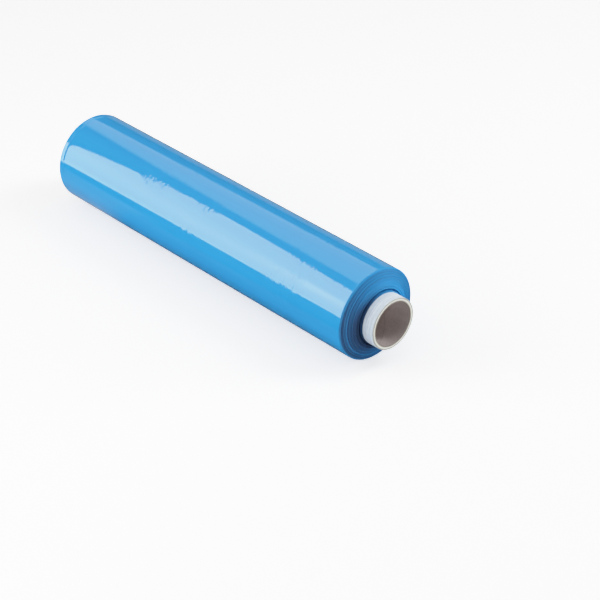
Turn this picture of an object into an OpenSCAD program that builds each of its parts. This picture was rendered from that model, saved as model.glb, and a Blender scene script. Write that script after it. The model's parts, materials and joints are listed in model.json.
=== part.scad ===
// Hand roll of blue stretch wrap film on a paperboard core, lying on its side.
// The roll's axis is X, its near end is at +X, and the origin is the middle of the core's bore.

/* [Core tube] */
// Inside diameter of the core, which is a two-inch bore
bore_d = 50.8; // [38:0.2:76]
// Thickness of the core's wall
core_wall = 4.4; // [2:0.1:8]
// How far the core stands out past the first turns of film, at the near end
near_reach = 15; // [2:1:40]
// How far it stands out at the far end, because the film isn't wound quite in the middle
far_reach = 12; // [2:1:40]
// Bevel that the cut leaves on the core's outer edge
core_bevel = 0.4; // [0.1:0.1:1]

/* [Film roll] */
// Width of the first turns of film, next to the core
film_w = 500; // [200:5:600]
// Outside diameter of the wound film
film_od = 106; // [90:1:160]
// How far the film narrows from the first turns to the last, at each end
neck_in = 10.2; // [2:0.1:20]
// Rounding of the rim of the last turns
rim_round = 0.8; // [0.2:0.1:1]
// Width of the flat spot that the roll's weight presses under it
flat_w = 14; // [4:1:20]

/* [Turns on the end faces] */
// Number of groups of turns that show as rings on each end
turn_groups = 16; // [6:1:20]
// Depth of the deepest ring, below the slope of the end face
ring_depth = 0.7; // [0.2:0.1:1.4]
// Thickness of the collar of first turns that hugs the core
collar_t = 0.8; // [0.4:0.1:2]
// How far the collar stands out past the other turns
collar_proud = 1; // [0.2:0.1:3]
// Width of the open gap between the collar and the other turns
gap_w = 2.2; // [0.5:0.1:4]
// Depth of that gap, below the turns beside it
gap_depth = 4; // [1:0.5:10]

/* [Last turns] */
// Thickness of the last turns, which stop short of the far rim
last_t = 0.3; // [0.1:0.1:1]
// Distance from the far rim at which the last turns stop
last_short = 5.6; // [1.2:0.2:10]

/* [Hidden] */

bore_r = bore_d / 2;
core_r = bore_r + core_wall;
core_l = film_w + near_reach + far_reach;
film_mid = (far_reach - near_reach) / 2;
film_r = film_od / 2;
half_w = film_w / 2;
collar_r = core_r + collar_t;
face_r = collar_r + gap_w;
group_t = (film_r - rim_round - face_r) / turn_groups;
flat_z = sqrt(film_r * film_r - flat_w * flat_w / 4);
round_steps = 4;
near_phase = 335;
far_phase = 205;
step_angle = 137.5;
overcut = 5;
$fn = 96;

// Distance from the middle of the film to the sloping end face, at a radius
function face_x(r) = half_w - collar_proud - neck_in * (r - core_r) / (film_r - core_r);

// How far a group of turns lies back from the sloping face
function set_back(group, phase) = ring_depth * (1 + sin(step_angle * group + phase)) / 2;

// Radius of the inner edge of a group of turns
function group_r(group) = face_r + group_t * group;

// One end of the film in section, from the core out to the rim, as [radius, distance]
function end_section(phase, rim_r) = concat(
    [
        [core_r, half_w],
        [collar_r, half_w],
        [collar_r, face_x(face_r) - gap_depth],
        [face_r, face_x(face_r) - gap_depth]
    ],
    [
        for (group = [0 : turn_groups - 1])
            each [
                [group_r(group), face_x(group_r(group)) - set_back(group, phase)],
                [group_r(group + 1), face_x(group_r(group + 1)) - set_back(group, phase)]
            ]
    ],
    [
        for (i = [0 : round_steps])
            let (turn = 90 * i / round_steps)
            [
                rim_r - rim_round * (1 - sin(turn)),
                face_x(film_r) - rim_round * (1 - cos(turn))
            ]
    ]
);

// The same section, walked from the rim in to the core
function reversed(points) = [for (i = [len(points) - 1 : -1 : 0]) points[i]];

// The last turns, which stop short of the far rim and leave the turns below them bare
function last_turn_edge() = [
    [film_r - last_t, face_x(film_r) - last_short],
    [film_r, face_x(film_r) - last_short]
];

// A section turned about the roll's axis
module turned(section) {
    rotate([0, 90, 0])
        rotate_extrude()
            polygon(section);
}

module core_tube() {
    color("whitesmoke")
        turned([
            [bore_r, -core_l / 2],
            [core_r - core_bevel, -core_l / 2],
            [core_r, -core_l / 2 + core_bevel],
            [core_r, core_l / 2 - core_bevel],
            [core_r - core_bevel, core_l / 2],
            [bore_r, core_l / 2]
        ]);
}

module wound_film() {
    far_end = concat(end_section(far_phase, film_r - last_t), last_turn_edge());
    near_end = end_section(near_phase, film_r);
    translate([film_mid, 0, 0])
        turned(concat(
            [for (point = far_end) [point[0], -point[1]]],
            reversed(near_end)
        ));
}

module film_roll() {
    color("dodgerblue")
        difference() {
            wound_film();
            translate([film_mid - half_w - overcut, -flat_w, -film_r - overcut])
                cube([film_w + 2 * overcut, 2 * flat_w, film_r + overcut - flat_z]);
        }
}

core_tube();
film_roll();
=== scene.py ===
import json
import math
import random

import bmesh
import bpy
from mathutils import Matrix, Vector, noise


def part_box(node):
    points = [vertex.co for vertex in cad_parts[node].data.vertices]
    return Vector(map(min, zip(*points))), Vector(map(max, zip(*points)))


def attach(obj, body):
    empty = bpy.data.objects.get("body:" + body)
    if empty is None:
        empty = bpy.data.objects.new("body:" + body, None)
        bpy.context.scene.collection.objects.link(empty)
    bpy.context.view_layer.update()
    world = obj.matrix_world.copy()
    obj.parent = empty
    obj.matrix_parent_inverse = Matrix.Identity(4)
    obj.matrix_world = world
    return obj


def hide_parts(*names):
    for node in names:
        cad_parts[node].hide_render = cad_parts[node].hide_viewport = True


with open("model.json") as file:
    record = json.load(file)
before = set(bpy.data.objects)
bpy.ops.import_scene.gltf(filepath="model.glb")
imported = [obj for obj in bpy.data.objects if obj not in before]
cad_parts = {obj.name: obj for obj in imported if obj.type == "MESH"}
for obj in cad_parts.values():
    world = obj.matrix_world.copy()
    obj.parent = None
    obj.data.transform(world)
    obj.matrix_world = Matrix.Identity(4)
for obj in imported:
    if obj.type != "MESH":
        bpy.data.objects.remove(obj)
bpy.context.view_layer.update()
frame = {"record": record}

MM = 0.001
HAIR = 0.001 * MM

# Sizes that the frame gives, in metres
MOUNTS = {mount["name"]: mount for mount in frame["record"]["mounts"]}
FILM_LOW, FILM_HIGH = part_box("film_roll")
CORE_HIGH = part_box("core_tube")[1]
BORE_R = MOUNTS["core_bore"]["dims"]["r_mm"] * MM
CORE_R = MOUNTS["near_core_end"]["dims"]["r_mm"] * MM
CORE_END = CORE_HIGH.x
FILM_R = FILM_HIGH.z
FLOOR_Z = FILM_LOW.z
FILM_MID = (FILM_LOW.x + FILM_HIGH.x) / 2
COLLAR_END = (FILM_HIGH.x - FILM_LOW.x) / 2

# Film, as wound
COLLAR_T = 0.8 * MM
COLLAR_PROUD = 1.0 * MM
GAP_W = 2.2 * MM
GAP_DEPTH = 4.0 * MM
NECK_IN = 10.2 * MM
RIM_ROUND = 0.8 * MM
TURN_GROUPS = 16
RING_DEPTH = 0.7 * MM
STEP_ANGLE = math.radians(137.5)
NEAR_PHASE = math.radians(335)
FAR_PHASE = math.radians(205)
LAST_SHORT = 5.6 * MM
FACE_R = CORE_R + COLLAR_T + GAP_W
GROUP_T = (FILM_R - RIM_ROUND - FACE_R) / TURN_GROUPS
# The gap beside the core reaches out to here, past the first row of the turns
GAP_OUTER_R = FACE_R + GROUP_T / 9

# Fine form of the end faces
NEAR_SEED = 5
FAR_SEED = 9
COLLAR_LIP = 0.15 * MM
ROUND_STEPS = 4
TURNS_IN_GROUP = 3
TURN_STAGGER = 0.12 * MM
TURN_BEVEL = 0.05 * MM
RING_WANDER = 0.10 * MM
WANDER_BY_RADIUS = 2200
WANDER_AROUND = 1.3

# Fine form of the film's outside
FILM_STEPS = 240
FILM_ROWS = 116
FILM_SHARP = math.radians(32)
CLOSE_ROWS = (0.15 * MM, 0.8 * MM)
# Edge of the last turns, with the groove beside it and the bare turns past it
EASE_STEPS = 4
LAST_EASE = 3.2 * MM
LAST_EASE_DROP = 0.045 * MM
GROOVE_DEPTH = 0.7 * MM
GROOVE_RISE = 2.0 * MM
GROOVE_FALL = 0.3 * MM
# Rise of the groove from its foot to its top, as (share of its width, share of its height)
GROOVE_PROFILE = [(0.0, 0.0), (0.15, 0.08), (0.85, 0.92), (1.0, 1.0)]
BARE_DROP = 0.06 * MM
OUTER_LAYER = 1.2 * GROOVE_DEPTH
# Loose end of the film
TAIL_T = 0.09 * MM
TAIL_ANGLE = math.radians(-38)
TAIL_EASE = math.radians(50)
TAIL_SWAY = 0.02
TAIL_WAVES = 9
# Uneven winding, in bands along the roll and in slack spots around it
BAND_SWELL = 0.045 * MM
BROAD_BANDS = 55
FINE_BANDS = 130
FINE_PART = 0.5
SLACK_SWELL = 0.05 * MM
SLACK_WAVES = 22
SLACK_AROUND = 2.2
# Rows of the noise that the winding's unevenness is read from
BROAD_ROW = (3.1, 0.7)
FINE_ROW = (8.2, 1.9)
TAIL_ROW = (0.3, 5.0)

# Fine form of the core
CORE_STEPS = 192
CORE_SHARP = math.radians(40)
CUT_BEVEL = 0.4 * MM
BORE_LIP = 0.25 * MM
# Faces past here, along the roll, show the cut, and those inside this radius show the bore
CUT_FROM = CORE_END - 0.7 * CUT_BEVEL
BORE_WITHIN = BORE_R + BORE_LIP / 2
PLY_GROOVE = 0.07 * MM
PLIES = 5

# Puckered spots of the film: place along the roll, angle around it in degrees, reach, strength
PUCKERED_SPOTS = [
    (-0.175, 134, 0.055, 0.14),
    (-0.080, 129, 0.032, 1.0),
    (-0.040, 127, 0.040, 0.35),
    (0.009, 123, 0.028, 1.0),
    (0.070, 123, 0.040, 0.25),
    (0.160, 127, 0.046, 0.6),
    (0.215, 127, 0.030, 0.4),
    (-0.060, 90, 0.036, 0.9),
    (-0.005, 90, 0.036, 0.7),
    (0.155, 87, 0.046, 1.1),
    (-0.002, 163, 0.024, 1.6),
    (0.150, 164, 0.044, 1.6),
    (-0.150, 20, 0.034, 0.8),
    (0.070, 12, 0.030, 0.8),
    (0.190, -48, 0.036, 0.8),
    (-0.060, -70, 0.030, 0.8),
]
# How much of a spot's reach is puckered in full
PUCKER_HEART = 0.35
PUCKER_HEIGHT = 0.25 * MM
# Faint puckers all over the film: a share of the noise, and the strength there
FAINT_PUCKERS = [(0.50, (0.02, 0.02, 0.02)), (0.80, (0.16, 0.16, 0.16))]

# Tone of the turns' edges by radius in millimetres, from dark at 0 to light at 1; the darkest tones, at the
# collar and in the gap beside the core, are painted shade
RING_TONES_AND_GAP_SHADE = [
    (29.9, 0.10),
    (32.4, 0.0),
    (33.2, 0.40),
    (36.5, 0.42),
    (40.2, 0.62),
    (42.2, 0.48),
    (43.6, 0.25),
    (45.2, 0.84),
    (46.0, 0.50),
    (46.7, 0.34),
    (47.7, 0.55),
    (49.4, 0.24),
    (50.8, 0.62),
    (51.5, 0.60),
    (52.4, 1.0),
]
# Fine rings between them: how many in a metre of radius, how much they wander, their part in the tone
FINE_RINGS = [(2600.0, 14, 0.35), (950.0, 9, 0.50), (430.0, 5, 0.30)]
RING_PART = 0.42
RING_MIDDLE = 0.795
RING_RELIEF = 0.14 * MM
# Painted shade: tone of the shaded side of the turns' edges, darkest near the core, where the core's shadow
# is painted, by radius in millimetres
SHADED_SIDE_TONES = [
    (30.5, 0.30),
    (32.5, 0.36),
    (34.5, 0.41),
    (38.0, 0.53),
    (42.5, 0.575),
    (52.0, 0.605),
]
# Painted light: the same for the other side, which is lit
LIT_SIDE_TONES = [
    (30.5, 0.92),
    (35.0, 0.88),
    (41.0, 0.78),
    (52.0, 0.78),
]
# Painted light and shade: how strongly the rings show on the shaded side and on the lit side, and the
# direction of the lit side around the roll
SHADED_SIDE_CONTRAST = 1.0
LIT_SIDE_CONTRAST = 0.3
LIT_SIDE = math.radians(33)
# Blues of the turns' edges, from dark to light
EDGE_BLUES = [
    (0.40, (0.016, 0.047, 0.120)),
    (0.52, (0.024, 0.084, 0.208)),
    (0.70, (0.026, 0.200, 0.480)),
    (0.95, (0.024, 0.338, 0.740)),
]
WALL_BLUES = [(0.3, (0.019, 0.258, 0.590)), (0.7, (0.026, 0.285, 0.640))]

# Colours of the core's paper outside and of its board inside
LINER_WHITES = [(0.30, (0.37, 0.45, 0.545)), (0.68, (0.68, 0.746, 0.824))]
LINER_LINE_PART = 0.65
LINER_FIBRE_PART = 0.35
# Painted shade on one side of the core's paper and painted light on the other
LINER_PAINTED_SHADE = -0.07
LINER_PAINTED_LIGHT = 0.08
LINER_RELIEF = 0.06 * MM
BORE_BROWNS = [(0.3, (0.355, 0.305, 0.295)), (0.7, (0.445, 0.385, 0.37))]
BORE_RELIEF = 0.05 * MM
# Painted shade makes the bore darker near its ends, from this depth out to this one, and painted light makes
# it lighter deeper in
MOUTH_SHADE_DEPTH = 26 * MM
MOUTH_SHADE_FULL = 4 * MM
MOUTH_SHADE_TONE = 0.74
DEEP_LIGHT_TONE = 1.3
# Spiral seam in the bore: its pitch in metres, half its width as a share of that, and how dark it is
SEAM_PITCH = 0.11
SEAM_HALF = 0.012
SEAM_DARK = 0.15
# Colour of the cut edge of the core, from the bore at 0 to the outside at 1; the darkest tones, at the bore's
# edge, are painted shade
CUT_TONES_AND_EDGE_SHADE = [
    (0.00, (0.13, 0.105, 0.09)),
    (0.12, (0.22, 0.19, 0.16)),
    (0.26, (0.47, 0.46, 0.41)),
    (0.44, (0.68, 0.70, 0.64)),
    (0.58, (0.66, 0.68, 0.62)),
    (0.72, (0.40, 0.395, 0.35)),
    (0.86, (0.32, 0.32, 0.29)),
    (1.00, (0.50, 0.53, 0.52)),
]
CUT_FRAY = 0.12
CUT_RELIEF = 0.12 * MM

# Grain of the patterns: how fast each changes in a metre, along the roll and across it
PUCKER_DRIFT = (12, 9, 9)
PUCKER_GRAIN = (310, 110, 110)
WALL_STREAKS = (3, 60, 60)
LINER_FIBRES = (700, 180, 180)
LINER_LINES = (1100, 8, 8)
CUT_FIBRES = (900, 900, 900)
BORE_FIBRES = (500, 500, 500)


def face_x(r):
    """How far the end face is from the middle of the film at radius r."""
    return COLLAR_END - COLLAR_PROUD - NECK_IN * (r - CORE_R) / (FILM_R - CORE_R)


def turn_rows(phase, seed):
    """Points (x, r) of the turns on an end face, from the gap out to the rim's rounding."""
    draw = random.Random(seed)
    rows = []
    for group in range(TURN_GROUPS):
        inner = FACE_R + GROUP_T * group
        set_back = RING_DEPTH * (1 + math.sin(STEP_ANGLE * group + phase)) / 2
        for turn in range(TURNS_IN_GROUP):
            start = inner + GROUP_T * turn / TURNS_IN_GROUP
            stop = inner + GROUP_T * (turn + 1) / TURNS_IN_GROUP
            back = max(0.0, set_back + draw.uniform(-TURN_STAGGER, TURN_STAGGER))
            rows.append((face_x(start) - back, start + TURN_BEVEL / 2))
            rows.append((face_x(stop) - back, stop - TURN_BEVEL / 2))
    return rows


def end_rows(phase, seed, rim_r):
    """Points (x, r) of one end of the film, from the core out to the outermost turn."""
    collar_r = CORE_R + COLLAR_T
    floor_x = face_x(FACE_R) - GAP_DEPTH
    rows = [(COLLAR_END - COLLAR_LIP, CORE_R)]
    rows.append((COLLAR_END, CORE_R + COLLAR_LIP))
    rows.append((COLLAR_END, collar_r - COLLAR_LIP))
    rows.append((COLLAR_END - COLLAR_LIP, collar_r))
    rows.append((floor_x, collar_r))
    rows.append((floor_x, FACE_R))
    rows += turn_rows(phase, seed)
    for step in range(ROUND_STEPS + 1):
        turn = math.pi / 2 * step / ROUND_STEPS
        x = face_x(FILM_R) - RIM_ROUND * (1 - math.cos(turn))
        rows.append((x, rim_r - RIM_ROUND * (1 - math.sin(turn))))
    return rows


def groove_rows(last_edge, bare_edge):
    """Points (x, r) of the groove that the last turns leave: a steep step down, then a soft rise."""
    rows = []
    for step in range(EASE_STEPS + 1):
        share = step / EASE_STEPS
        rows.append((last_edge + LAST_EASE * (1 - share), FILM_R - LAST_EASE_DROP * share * share))
    foot = (last_edge - GROOVE_FALL, FILM_R - GROOVE_DEPTH)
    top = (bare_edge, FILM_R - BARE_DROP)
    for share, part in GROOVE_PROFILE:
        rows.append((foot[0] + (top[0] - foot[0]) * share, foot[1] + (top[1] - foot[1]) * part))
    return rows


def wall_rows():
    """Points (x, r) along the outside of the film, from the near rim to the far one."""
    near = face_x(FILM_R) - RIM_ROUND
    far = -near
    bare_edge = -(face_x(FILM_R) - LAST_SHORT)
    last_edge = bare_edge + GROOVE_RISE + GROOVE_FALL
    rows = [(near - close, FILM_R) for close in CLOSE_ROWS]
    for row in range(1, FILM_ROWS):
        x = near + (last_edge + LAST_EASE - near) * row / FILM_ROWS
        rows.append((x, FILM_R))
    rows += groove_rows(last_edge, bare_edge)
    rows += [(bare_edge - close, FILM_R - BARE_DROP) for close in CLOSE_ROWS]
    rows += [(far + close, FILM_R - BARE_DROP) for close in reversed(CLOSE_ROWS)]
    return rows


def arc(x, r, from_angle, to_angle, radius, steps=ROUND_STEPS):
    """Points (x, r) on a rounded edge, about the centre (x, r)."""
    rows = []
    for step in range(steps + 1):
        turn = from_angle + (to_angle - from_angle) * step / steps
        rows.append((x + radius * math.cos(turn), r + radius * math.sin(turn)))
    return rows


def cut_rows():
    """Points (x, r) of the core's near end: the bore's lip, the grooves between its plies, the bevel."""
    rows = arc(CORE_END - BORE_LIP, BORE_R + BORE_LIP, math.radians(-90), 0, BORE_LIP)
    for ply in range(1, PLIES):
        r = BORE_R + (CORE_R - BORE_R) * ply / PLIES
        rows.append((CORE_END, r - PLY_GROOVE))
        rows.append((CORE_END - PLY_GROOVE, r))
        rows.append((CORE_END, r + PLY_GROOVE))
    rows += arc(CORE_END - CUT_BEVEL, CORE_R - CUT_BEVEL, 0, math.radians(90), CUT_BEVEL)
    return rows


def mirrored(rows):
    """The same points at the other end of the roll, in the order that closes the outline."""
    return [(-x, r) for x, r in reversed(rows)]


def spun(rows, steps):
    """A bmesh of the closed outline through the rows of (x, r), spun about the roll's axis."""
    shape = bmesh.new()
    ring = [shape.verts.new((x, r, 0)) for x, r in rows]
    edges = [shape.edges.new((ring[i - 1], ring[i])) for i in range(len(ring))]
    bmesh.ops.spin(
        shape, geom=ring + edges, cent=(0, 0, 0), axis=(1, 0, 0), dvec=(0, 0, 0),
        angle=2 * math.pi, steps=steps, use_merge=True, use_duplicate=False,
    )
    bmesh.ops.remove_doubles(shape, verts=shape.verts, dist=HAIR)
    bmesh.ops.recalc_face_normals(shape, faces=shape.faces)
    return shape


def placed(name, shape, materials):
    """The object made of a bmesh, with its materials, in the scene."""
    mesh = bpy.data.meshes.new(name)
    shape.to_mesh(mesh)
    shape.free()
    for material in materials:
        mesh.materials.append(material)
    piece = bpy.data.objects.new(name, mesh)
    bpy.context.scene.collection.objects.link(piece)
    return piece


def finished(name, shape, materials, sharp_angle):
    """The object made of a bmesh, smooth except at its sharp edges."""
    for edge in shape.edges:
        edge.smooth = edge.calc_face_angle(0) < sharp_angle
    for face in shape.faces:
        face.smooth = True
    return placed(name, shape, materials)


def swell(x, angle):
    """How far the outermost turns stand below the film's full radius."""
    broad = noise.noise(Vector((x * BROAD_BANDS, *BROAD_ROW)))
    bands = broad + FINE_PART * noise.noise(Vector((x * FINE_BANDS, *FINE_ROW)))
    around = (SLACK_AROUND * math.cos(angle), SLACK_AROUND * math.sin(angle))
    slack = noise.noise(Vector((x * SLACK_WAVES, *around)))
    return BAND_SWELL * (1 - bands) / 2 + SLACK_SWELL * (1 - slack) / 2


def tail_drop(x, angle):
    """How far the film lies below its loose tail, which eases back into the roll on one side."""
    edge = TAIL_ANGLE + TAIL_SWAY * noise.noise(Vector((x * TAIL_WAVES, *TAIL_ROW)))
    past = (angle - edge) % (2 * math.pi)
    if past < TAIL_EASE:
        return TAIL_T * (1 - past / TAIL_EASE)
    return 0.0


def ring_wander(r, angle, side):
    """How far a ring of an end face lies back, which changes slowly around the roll."""
    across = WANDER_AROUND * math.cos(angle)
    up = WANDER_AROUND * math.sin(angle) + side
    return RING_WANDER * (1 + noise.noise(Vector((r * WANDER_BY_RADIUS, across, up)))) / 2


def shape_film(shape):
    """Gives the spun film its uneven winding, wandering rings, flat spot and place on the core."""
    for vert in shape.verts:
        r = math.hypot(vert.co.y, vert.co.z)
        angle = math.atan2(vert.co.z, vert.co.y)
        if r > FILM_R - OUTER_LAYER and abs(vert.co.x) < face_x(FILM_R):
            drop = swell(vert.co.x, angle) + tail_drop(vert.co.x, angle)
            scale = (r - drop) / r
            vert.co.y *= scale
            vert.co.z *= scale
        elif r > FACE_R:
            side = math.copysign(1, vert.co.x)
            vert.co.x -= side * ring_wander(r, angle, side)
        vert.co.z = max(vert.co.z, FLOOR_Z)
        vert.co.x += FILM_MID


def feed(tree, socket, value):
    """Sets a socket to a value, or links it where the value is a socket itself."""
    if isinstance(value, bpy.types.NodeSocket):
        tree.links.new(value, socket)
    else:
        socket.default_value = value


def add_node(tree, kind, **values):
    """A node with properties or sockets set: a socket's name has its spaces written as underscores."""
    made = tree.nodes.new(kind)
    for name, value in values.items():
        if hasattr(made, name):
            setattr(made, name, value)
        else:
            made.inputs[name.replace("_", " ")].default_value = value
    return made


def new_material(name, **values):
    """A material with its shader's sockets set: their names have spaces written as underscores."""
    material = bpy.data.materials.new(name)
    material.use_nodes = True
    tree = material.node_tree
    shader = tree.nodes["Principled BSDF"]
    for socket, value in values.items():
        shader.inputs[socket.replace("_", " ")].default_value = value
    return material, tree, shader


def math_node(tree, operation, first, second=None):
    """A Math node's result: each of its two inputs is a number or a socket."""
    made = add_node(tree, "ShaderNodeMath", operation=operation)
    feed(tree, made.inputs[0], first)
    if second is not None:
        feed(tree, made.inputs[1], second)
    return made.outputs[0]


def vector_node(tree, operation, result, first, second=None):
    """A Vector Math node's result, by name: each of its two inputs is a vector or a socket."""
    made = add_node(tree, "ShaderNodeVectorMath", operation=operation)
    feed(tree, made.inputs[0], first)
    if second is not None:
        feed(tree, made.inputs[1], second)
    return made.outputs[result]


def mapped(tree, value, span, levels, kind="LINEAR"):
    """A value carried from one span of numbers to two levels, each of them a number or a socket."""
    made = add_node(tree, "ShaderNodeMapRange", interpolation_type=kind)
    feed(tree, made.inputs["Value"], value)
    feed(tree, made.inputs["From Min"], span[0])
    feed(tree, made.inputs["From Max"], span[1])
    feed(tree, made.inputs["To Min"], levels[0])
    feed(tree, made.inputs["To Max"], levels[1])
    return made.outputs[0]


def object_place(tree):
    """Object coordinates, as a vector."""
    return tree.nodes.new("ShaderNodeTexCoord").outputs["Object"]


def axes_of(tree, vector):
    """The X, Y and Z of a vector."""
    axes = tree.nodes.new("ShaderNodeSeparateXYZ")
    tree.links.new(vector, axes.inputs[0])
    return axes.outputs


def stretched(tree, scale):
    """Object coordinates multiplied by a scale along each axis."""
    mapping = add_node(tree, "ShaderNodeMapping", Scale=scale)
    tree.links.new(object_place(tree), mapping.inputs["Vector"])
    return mapping.outputs["Vector"]


def noise_on(tree, vector, detail=2.0, roughness=0.5):
    """Soft noise that is read at a vector."""
    made = add_node(tree, "ShaderNodeTexNoise", Scale=1.0, Detail=detail, Roughness=roughness)
    tree.links.new(vector, made.inputs["Vector"])
    return made.outputs["Fac"]


def ramp(tree, value, stops):
    """A colour ramp through stops of (position, linear colour)."""
    made = tree.nodes.new("ShaderNodeValToRGB")
    marks = made.color_ramp.elements
    marks[0].position, marks[0].color = stops[0][0], (*stops[0][1], 1)
    marks[1].position, marks[1].color = stops[-1][0], (*stops[-1][1], 1)
    for place, colour in stops[1:-1]:
        marks.new(place).color = (*colour, 1)
    tree.links.new(value, made.inputs["Fac"])
    return made.outputs["Color"]


def grey(level):
    """A neutral colour."""
    return (level, level, level)


def bump(tree, height, distance, shader):
    """Gives a shader the relief of a height pattern."""
    made = add_node(tree, "ShaderNodeBump", Strength=1.0, Distance=distance)
    tree.links.new(height, made.inputs["Height"])
    tree.links.new(made.outputs["Normal"], shader.inputs["Normal"])


def radius_of(tree):
    """Distance from the roll's axis, in metres."""
    return vector_node(tree, "LENGTH", "Value", stretched(tree, (0, 1, 1)))


def pucker_mask(tree):
    """How strongly the film is puckered: 0 where it lies smooth, 1 in the middle of a puckered spot."""
    where = noise_on(tree, stretched(tree, PUCKER_DRIFT), detail=1)
    total = ramp(tree, where, FAINT_PUCKERS)
    for x, angle, reach, strength in PUCKERED_SPOTS:
        turn = math.radians(angle)
        spot = (x + FILM_MID, FILM_R * math.cos(turn), FILM_R * math.sin(turn))
        away = vector_node(tree, "DISTANCE", "Value", object_place(tree), spot)
        fade = mapped(tree, away, (reach, reach * PUCKER_HEART), (0.0, strength), "SMOOTHSTEP")
        total = math_node(tree, "MAXIMUM", total, fade)
    return total


def film_wall():
    """Glossy blue film on the outside of the roll, with puckers where the winding pulled unevenly."""
    material, tree, shader = new_material("film_wall", Roughness=0.02, IOR=1.5, Specular_IOR_Level=1.0)
    streaks = noise_on(tree, stretched(tree, WALL_STREAKS), detail=3)
    tree.links.new(ramp(tree, streaks, WALL_BLUES), shader.inputs["Base Color"])
    puckers = noise_on(tree, stretched(tree, PUCKER_GRAIN), detail=1.0)
    bump(tree, math_node(tree, "MULTIPLY", puckers, pucker_mask(tree)), PUCKER_HEIGHT, shader)
    return material


def ring_noise(tree, r, fineness, wander):
    """Noise that changes fast with the radius and slowly around the axis."""
    along = add_node(tree, "ShaderNodeCombineXYZ")
    tree.links.new(math_node(tree, "MULTIPLY", r, fineness), along.inputs["X"])
    around = stretched(tree, (0, wander, wander))
    place = vector_node(tree, "ADD", "Vector", along.outputs[0], around)
    return noise_on(tree, place, detail=3, roughness=0.6)


def by_radius(tree, r, tones):
    """A tone that follows a list of (radius in millimetres, tone)."""
    share = math_node(tree, "DIVIDE", math_node(tree, "SUBTRACT", r, CORE_R), FILM_R - CORE_R)
    return ramp(tree, share, [((at * MM - CORE_R) / (FILM_R - CORE_R), grey(tone)) for at, tone in tones])


def lit_side_share(tree):
    """From 1 on the side of the roll where light is painted, to -1 on the side where shade is painted."""
    outward = vector_node(tree, "NORMALIZE", "Vector", stretched(tree, (0, 1, 1)))
    lit_direction = (0, math.cos(LIT_SIDE), math.sin(LIT_SIDE))
    return vector_node(tree, "DOT_PRODUCT", "Value", outward, lit_direction)


def film_edges():
    """Turn edges on the end faces: deeper blue in fine rings, with painted light on one side, painted shade
    on the other, and painted shade darkest beside the core.
    """
    material, tree, shader = new_material("film_edges", Roughness=0.38, IOR=1.5, Specular_IOR_Level=0.3)
    r = radius_of(tree)
    rings = 0.0
    for fineness, wander, part in FINE_RINGS:
        turns = math_node(tree, "MULTIPLY", ring_noise(tree, r, fineness, wander), part)
        rings = math_node(tree, "ADD", turns, rings)
    # Ring tones by radius, with painted shade at the collar and in the gap beside the core
    level = math_node(tree, "MULTIPLY", by_radius(tree, r, RING_TONES_AND_GAP_SHADE), RING_PART)
    pattern = math_node(tree, "SUBTRACT", math_node(tree, "ADD", rings, level), RING_MIDDLE)
    # Painted light on one side of the end faces and painted shade on the other, darkest near the core
    side = lit_side_share(tree)
    contrast = mapped(tree, side, (-1, 1), (SHADED_SIDE_CONTRAST, LIT_SIDE_CONTRAST))
    tones = (by_radius(tree, r, SHADED_SIDE_TONES), by_radius(tree, r, LIT_SIDE_TONES))
    base = mapped(tree, side, (-1, 1), tones)
    tone = math_node(tree, "ADD", base, math_node(tree, "MULTIPLY", pattern, contrast))
    tree.links.new(ramp(tree, tone, EDGE_BLUES), shader.inputs["Base Color"])
    bump(tree, rings, RING_RELIEF, shader)
    return material


def core_liner():
    """Blue-white paper outside the core, with fine lines around it, painted shade on one side and painted
    light on the other.
    """
    material, tree, shader = new_material("core_liner", Roughness=0.6)
    fibres = noise_on(tree, stretched(tree, LINER_FIBRES), detail=4, roughness=0.6)
    lines = noise_on(tree, stretched(tree, LINER_LINES), detail=3, roughness=0.7)
    fine = math_node(tree, "MULTIPLY", fibres, LINER_FIBRE_PART)
    total = math_node(tree, "ADD", math_node(tree, "MULTIPLY", lines, LINER_LINE_PART), fine)
    # Painted shade on one side of the paper and painted light on the other
    side = mapped(tree, lit_side_share(tree), (-1, 1), (LINER_PAINTED_SHADE, LINER_PAINTED_LIGHT))
    shade = math_node(tree, "ADD", total, side)
    tree.links.new(ramp(tree, shade, LINER_WHITES), shader.inputs["Base Color"])
    bump(tree, total, LINER_RELIEF, shader)
    return material


def core_cut():
    """Cream cut edge of the core: its plies, with the white liner as the outermost one, and painted shade at
    the bore's edge.
    """
    material, tree, shader = new_material("core_cut", Roughness=0.85)
    fibres = noise_on(tree, stretched(tree, CUT_FIBRES), detail=3, roughness=0.7)
    from_bore = math_node(tree, "SUBTRACT", radius_of(tree), BORE_R)
    share = math_node(tree, "DIVIDE", from_bore, CORE_R - BORE_R)
    fray = math_node(tree, "MULTIPLY", math_node(tree, "SUBTRACT", fibres, 0.5), CUT_FRAY)
    frayed = math_node(tree, "ADD", share, fray)
    # Plies of the cut edge, with painted shade at the bore's edge
    tree.links.new(ramp(tree, frayed, CUT_TONES_AND_EDGE_SHADE), shader.inputs["Base Color"])
    bump(tree, fibres, CUT_RELIEF, shader)
    return material


def spiral_seam(tree, axes):
    """0 on the seam that the core's spiral winding leaves in its bore, and 1 away from it."""
    angle = math_node(tree, "ARCTAN2", axes["Z"], axes["Y"])
    along = math_node(tree, "DIVIDE", axes["X"], SEAM_PITCH)
    turns = math_node(tree, "ADD", along, math_node(tree, "DIVIDE", angle, 2 * math.pi))
    from_seam = math_node(tree, "PINGPONG", turns, 0.5)
    return ramp(tree, from_seam, [(0.0, grey(0)), (SEAM_HALF, grey(1))])


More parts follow.
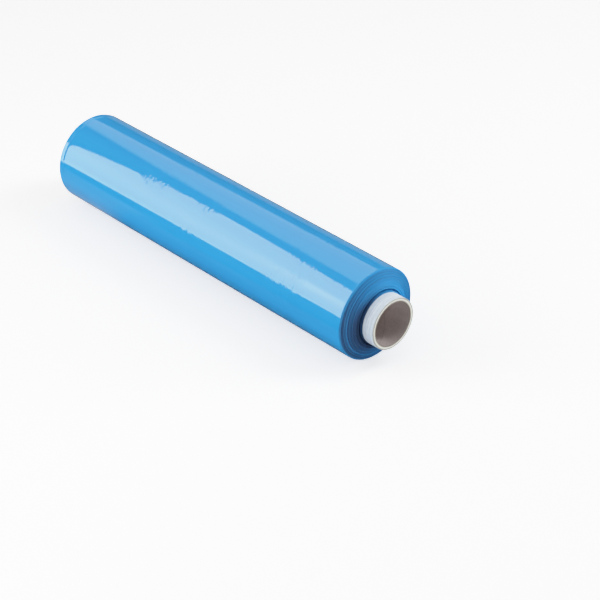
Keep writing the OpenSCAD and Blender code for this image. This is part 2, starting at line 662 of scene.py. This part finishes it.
def core_bore():
    """Brown-grey board inside the core, with painted shade near its ends, painted light deeper in, and the
    seam of its spiral winding.
    """
    material, tree, shader = new_material("core_bore", Roughness=0.8)
    axes = axes_of(tree, object_place(tree))
    seam = spiral_seam(tree, axes)
    fibres = noise_on(tree, stretched(tree, BORE_FIBRES), detail=4, roughness=0.65)
    dark = add_node(tree, "ShaderNodeMix", data_type="RGBA", blend_type="MULTIPLY")
    dark.inputs["Factor"].default_value = SEAM_DARK
    tree.links.new(ramp(tree, fibres, BORE_BROWNS), dark.inputs[6])
    tree.links.new(seam, dark.inputs[7])
    # Painted shade near the ends of the bore and painted light deeper in
    from_middle = math_node(tree, "ABSOLUTE", axes["X"])
    span = (CORE_END - MOUTH_SHADE_DEPTH, CORE_END - MOUTH_SHADE_FULL)
    toned = add_node(tree, "ShaderNodeVectorMath", operation="SCALE")
    tree.links.new(dark.outputs[2], toned.inputs[0])
    feed(tree, toned.inputs["Scale"], mapped(tree, from_middle, span, (DEEP_LIGHT_TONE, MOUTH_SHADE_TONE)))
    tree.links.new(toned.outputs["Vector"], shader.inputs["Base Color"])
    bump(tree, math_node(tree, "ADD", fibres, seam), BORE_RELIEF, shader)
    return material


def shows_turn_edges(face):
    """Whether a face of the spun film is on an end face or in the gap beside the core."""
    middle = face.calc_center_median()
    facing_end = abs(face.normal.x) > 0.5
    in_gap = middle.yz.length < GAP_OUTER_R
    past_wall = middle.yz.length > FACE_R and abs(middle.x) > face_x(FILM_R) + HAIR
    return facing_end or in_gap or past_wall


def wound_film():
    """All the turns of film, with the look of each end face and of the outside."""
    near = end_rows(NEAR_PHASE, NEAR_SEED, FILM_R)
    far = end_rows(FAR_PHASE, FAR_SEED, FILM_R - BARE_DROP)
    shape = spun(near + wall_rows() + mirrored(far), FILM_STEPS)
    for face in shape.faces:
        face.material_index = 1 if shows_turn_edges(face) else 0
    shape_film(shape)
    piece = finished("wound_film", shape, [film_wall(), film_edges()], FILM_SHARP)
    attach(piece, "root")
    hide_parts("film_roll")


def paper_core():
    """Spiral-wound tube that the film is wound on, with its plies showing at the cut ends."""
    near = cut_rows()
    shape = spun(near + mirrored(near), CORE_STEPS)
    for face in shape.faces:
        middle = face.calc_center_median()
        on_cut = abs(middle.x) > CUT_FROM
        in_bore = middle.yz.length < BORE_WITHIN
        face.material_index = 1 if on_cut else 2 if in_bore else 0
    piece = finished("paper_core", shape, [core_liner(), core_cut(), core_bore()], CORE_SHARP)
    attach(piece, "root")
    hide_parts("core_tube")


# Studio: floor and surroundings
FLOOR_HALF = 6.0
FLOOR_COLOUR = (0.86, 0.86, 0.86, 1)
FLOOR_GLOW = 0.60
AMBIENT = 0.22
UNDER = 0.05
AMBIENT_FROM = 0.8
BACKDROP = 2.2
# Large soft box: its level, tint and lighter middle, and its outline as (y, z)
KEY_LEVEL = 3.75
KEY_TINT = (1.0, 0.95, 0.985, 1)
KEY_SHADE = [(0.0, grey(0.86)), (0.45, grey(1)), (1.0, grey(0.86))]
KEY_X = -1.05
KEY_CENTRE = (KEY_X, -1.50, 0.69)
KEY_CENTRE_REACH = 0.34
KEY_CENTRE_GAIN = 1.32
KEY_OUTLINE = [
    (-0.660, 0.500),
    (-0.596, 0.690),
    (-0.541, 0.840),
    (-0.446, 1.030),
    (-0.430, 1.150),
    (-0.500, 1.310),
    (-0.673, 1.420),
    (-0.860, 1.550),
    (-2.2, 1.55),
    (-2.2, FLOOR_Z + 0.001),
    (-0.74, FLOOR_Z + 0.001),
]
# Bright card on the floor, as (x, y)
CARD_LEVEL = 3.4
CARD_Z = FLOOR_Z + 0.002
CARD_OUTLINE = [(KEY_X, 0.29), (-0.515, -0.315), (-0.221, -0.648), (0.4, -1.35), (KEY_X, -2.2)]
# Second soft box: a corner, its two sides and how far its light takes to come up
TOP_LEVEL = 1.04
TOP_CORNER = Vector((-1.368, 0.320, 0.589))
TOP_ACROSS = Vector((0.6058, 0.7752, 0.1828))
TOP_UP = Vector((0.4568, -0.5263, 0.7181))
TOP_WIDTH = 1.09
TOP_HEIGHT = 1.3
TOP_FADE = 0.16
# Pale card behind the roll, as (x, z)
BACK_LEVEL = 0.33
BACK_Y = 2.0
BACK_OUTLINE = [(-4.0, -0.7), (1.0, -0.7), (1.0, 0.6), (-4.0, 0.6)]
BACK_FADE = (0.6, 0.2)
# Pale ground beside the roll, as (x, y), and its streak by how far it is from the roll's middle
GROUND_LEVEL = 0.34
GROUND_Z = FLOOR_Z + 0.001
GROUND_OUTLINE = [(-0.6, -0.16), (0.25, -0.16), (0.25, 0.0), (-0.6, 0.0)]
GROUND_FULL = (-0.13, -0.21)
STREAK_SCALE = -5.0
STREAK = [
    (0.26, grey(0.18)),
    (0.42, grey(0.33)),
    (0.48, grey(0.5)),
    (0.55, grey(0.5)),
    (0.66, grey(0)),
]
# Two strips overhead
STRIP_LEVEL = 2.2
STRIP_Z = 1.5
STRIP_FROM = -0.5
STRIP_TO = 3.2
STRIP_IN = 0.35
STRIP_OUT = 1.0
# Lights that shade the roll and don't show in its gloss: name, place, width, power
SOFT_LIGHTS = [
    ("key_fill", (-1.0, -1.3, 0.75), 1.4, 20.0),
    ("ceiling_fill", (-0.1, -0.3, 2.2), 3.0, 27.0),
    ("end_light", (0.9, 1.15, 1.5), 0.8, 20.0),
    ("side_light", (2.4, 3.0, 0.9), 1.6, 86.0),
    ("bore_fill", (2.4, -0.9, 0.35), 1.3, 10.0),
    ("low_fill", (0.1, -1.6, 0.12), 1.2, 10.0),
]
CAMERA_PLACE = Vector((1.4910, -1.2677, 1.1398))
CAMERA_AIM = Vector((0.0857, 0.0325, -0.0666))
CAMERA_LENS = 120.9
CAMERA_SENSOR = 36.0
# Shoulder of the picture's tone curve, over a range up to WHITE_LEVEL
WHITE_LEVEL = 2
TONE_CURVE = [(0.2, 0.39), (0.25, 0.47), (0.425, 0.73), (0.595, 0.85)]


def glow_material(name, level):
    """A material that only glows, at a level that may be linked afterwards."""
    material = bpy.data.materials.new(name)
    material.use_nodes = True
    tree = material.node_tree
    tree.nodes.clear()
    out = tree.nodes.new("ShaderNodeOutputMaterial")
    glow = add_node(tree, "ShaderNodeEmission", Strength=level)
    tree.links.new(glow.outputs[0], out.inputs["Surface"])
    return material, tree, glow


def flat_panel(name, corners, material, lights_surfaces=True):
    """A stage panel with these corners, which only its light shows."""
    shape = bmesh.new()
    shape.faces.new([shape.verts.new(corner) for corner in corners])
    panel = placed(name, shape, [material])
    panel.visible_camera = False
    panel.visible_shadow = False
    panel.visible_diffuse = lights_surfaces


def key_panel():
    """Large soft box at the far left, whose edges draw the broad highlight."""
    material, tree, glow = glow_material("key_glow", KEY_LEVEL)
    place = object_place(tree)
    shade = ramp(tree, axes_of(tree, place)["Z"], KEY_SHADE)
    away = vector_node(tree, "DISTANCE", "Value", place, KEY_CENTRE)
    levels = (KEY_LEVEL, KEY_LEVEL * KEY_CENTRE_GAIN)
    centre = mapped(tree, away, (KEY_CENTRE_REACH, 0.0), levels, "SMOOTHSTEP")
    tree.links.new(math_node(tree, "MULTIPLY", shade, centre), glow.inputs["Strength"])
    glow.inputs["Color"].default_value = KEY_TINT
    flat_panel("key_panel", [(KEY_X, y, z) for y, z in KEY_OUTLINE], material)


def floor_card():
    """Bright card in front of the soft box, which carries the highlight down to a straight edge."""
    material = glow_material("card_glow", CARD_LEVEL)[0]
    flat_panel("floor_card", [(x, y, CARD_Z) for x, y in CARD_OUTLINE], material, False)


def top_panel():
    """Second soft box, above and behind, whose light fades towards one side."""
    across = TOP_ACROSS * TOP_WIDTH
    up = TOP_UP * TOP_HEIGHT
    outline = [TOP_CORNER, TOP_CORNER + across, TOP_CORNER + across + up, TOP_CORNER + up]
    material, tree, glow = glow_material("top_glow", TOP_LEVEL)
    along = vector_node(tree, "DOT_PRODUCT", "Value", object_place(tree), TOP_ACROSS)
    start = TOP_CORNER.dot(TOP_ACROSS)
    fade = mapped(tree, along, (start, start + TOP_FADE), (0.0, TOP_LEVEL))
    tree.links.new(fade, glow.inputs["Strength"])
    flat_panel("top_panel", outline, material)


def back_card():
    """Pale card low behind the roll, which lightens its upper edge in the gloss."""
    material, tree, glow = glow_material("back_glow", BACK_LEVEL)
    height = axes_of(tree, object_place(tree))["Z"]
    fade = mapped(tree, height, BACK_FADE, (0.0, BACK_LEVEL), "SMOOTHSTEP")
    tree.links.new(fade, glow.inputs["Strength"])
    flat_panel("back_card", [(x, BACK_Y, z) for x, z in BACK_OUTLINE], material, False)


def ground_card():
    """Pale ground beside the roll as its lower side mirrors it: full past the far end, a streak elsewhere."""
    material, tree, glow = glow_material("ground_glow", GROUND_LEVEL)
    axes = axes_of(tree, object_place(tree))
    past_end = mapped(tree, axes["X"], GROUND_FULL, (0.0, 1.0), "SMOOTHSTEP")
    streak = ramp(tree, math_node(tree, "MULTIPLY", axes["Y"], STREAK_SCALE), STREAK)
    level = math_node(tree, "MAXIMUM", past_end, streak)
    tree.links.new(math_node(tree, "MULTIPLY", level, GROUND_LEVEL), glow.inputs["Strength"])
    flat_panel("ground_card", [(x, y, GROUND_Z) for x, y in GROUND_OUTLINE], material, False)


def overhead_strips():
    """Two long strips above the roll's near end, which only the views from its far end see in the gloss."""
    for name, side in (("rear_strip", 1), ("front_strip", -1)):
        low, high = side * STRIP_IN, side * STRIP_OUT
        outline = [(STRIP_FROM, low, STRIP_Z), (STRIP_TO, low, STRIP_Z)]
        outline += [(STRIP_TO, high, STRIP_Z), (STRIP_FROM, high, STRIP_Z)]
        flat_panel(name, outline, glow_material(name + "_glow", STRIP_LEVEL)[0], False)


def soft_light(name, place, width, power):
    """Square soft light that faces the middle of the roll and stays out of its reflections."""
    lamp = bpy.data.lights.new(name, "AREA")
    lamp.size = width
    lamp.energy = power
    light = bpy.data.objects.new(name, lamp)
    light.location = place
    light.rotation_euler = (-light.location).to_track_quat("-Z", "Y").to_euler()
    light.visible_camera = False
    light.visible_glossy = False
    bpy.context.scene.collection.objects.link(light)


def pale_floor():
    """Plain pale floor under the roll, which the film's gloss doesn't mirror."""
    shape = bmesh.new()
    bmesh.ops.create_grid(shape, x_segments=1, y_segments=1, size=FLOOR_HALF)
    bmesh.ops.translate(shape, verts=shape.verts, vec=(0, 0, FLOOR_Z))
    material, tree, shader = new_material("floor_paint", Base_Color=FLOOR_COLOUR, Roughness=0.7)
    shader.inputs["Emission Color"].default_value = (1, 1, 1, 1)
    path = tree.nodes.new("ShaderNodeLightPath")
    glow = math_node(tree, "MULTIPLY", path.outputs["Is Camera Ray"], FLOOR_GLOW)
    tree.links.new(glow, shader.inputs["Emission Strength"])
    floor = placed("floor", shape, [material])
    floor.visible_glossy = False


def studio_world():
    """Even surroundings that grow darker towards the ground, behind a bright backdrop."""
    world = bpy.data.worlds.new("studio")
    world.use_nodes = True
    tree = world.node_tree
    sky = tree.nodes["Background"]
    sky.inputs["Color"].default_value = (1, 1, 1, 1)
    path = tree.nodes.new("ShaderNodeLightPath")
    toward = tree.nodes.new("ShaderNodeTexCoord").outputs["Generated"]
    rise = mapped(tree, axes_of(tree, toward)["Z"], (0.0, AMBIENT_FROM), (UNDER, AMBIENT))
    seen = math_node(tree, "MULTIPLY", path.outputs["Is Camera Ray"], BACKDROP - AMBIENT)
    tree.links.new(math_node(tree, "ADD", seen, rise), sky.inputs["Strength"])
    bpy.context.scene.world = world


def studio_camera():
    """Camera at the viewing angle of the photograph."""
    camera_data = bpy.data.cameras.new("camera")
    camera_data.sensor_width = CAMERA_SENSOR
    camera_data.lens = CAMERA_LENS
    camera = bpy.data.objects.new("camera", camera_data)
    camera.location = CAMERA_PLACE
    camera.rotation_euler = (CAMERA_AIM - CAMERA_PLACE).to_track_quat("-Z", "Y").to_euler()
    bpy.context.scene.collection.objects.link(camera)
    bpy.context.scene.camera = camera


def print_look():
    """Standard view with a shoulder, so that highlights keep their colour."""
    settings = bpy.context.scene.view_settings
    settings.view_transform = "Standard"
    settings.use_curve_mapping = True
    curves = settings.curve_mapping
    curves.white_level = (WHITE_LEVEL, WHITE_LEVEL, WHITE_LEVEL)
    for place, level in TONE_CURVE:
        curves.curves[3].points.new(place, level)
    curves.update()


studio_camera()
wound_film()
paper_core()
pale_floor()
key_panel()
floor_card()
top_panel()
back_card()
ground_card()
overhead_strips()
for light_name, light_place, light_width, light_power in SOFT_LIGHTS:
    soft_light(light_name, light_place, light_width, light_power)
studio_world()
print_look()
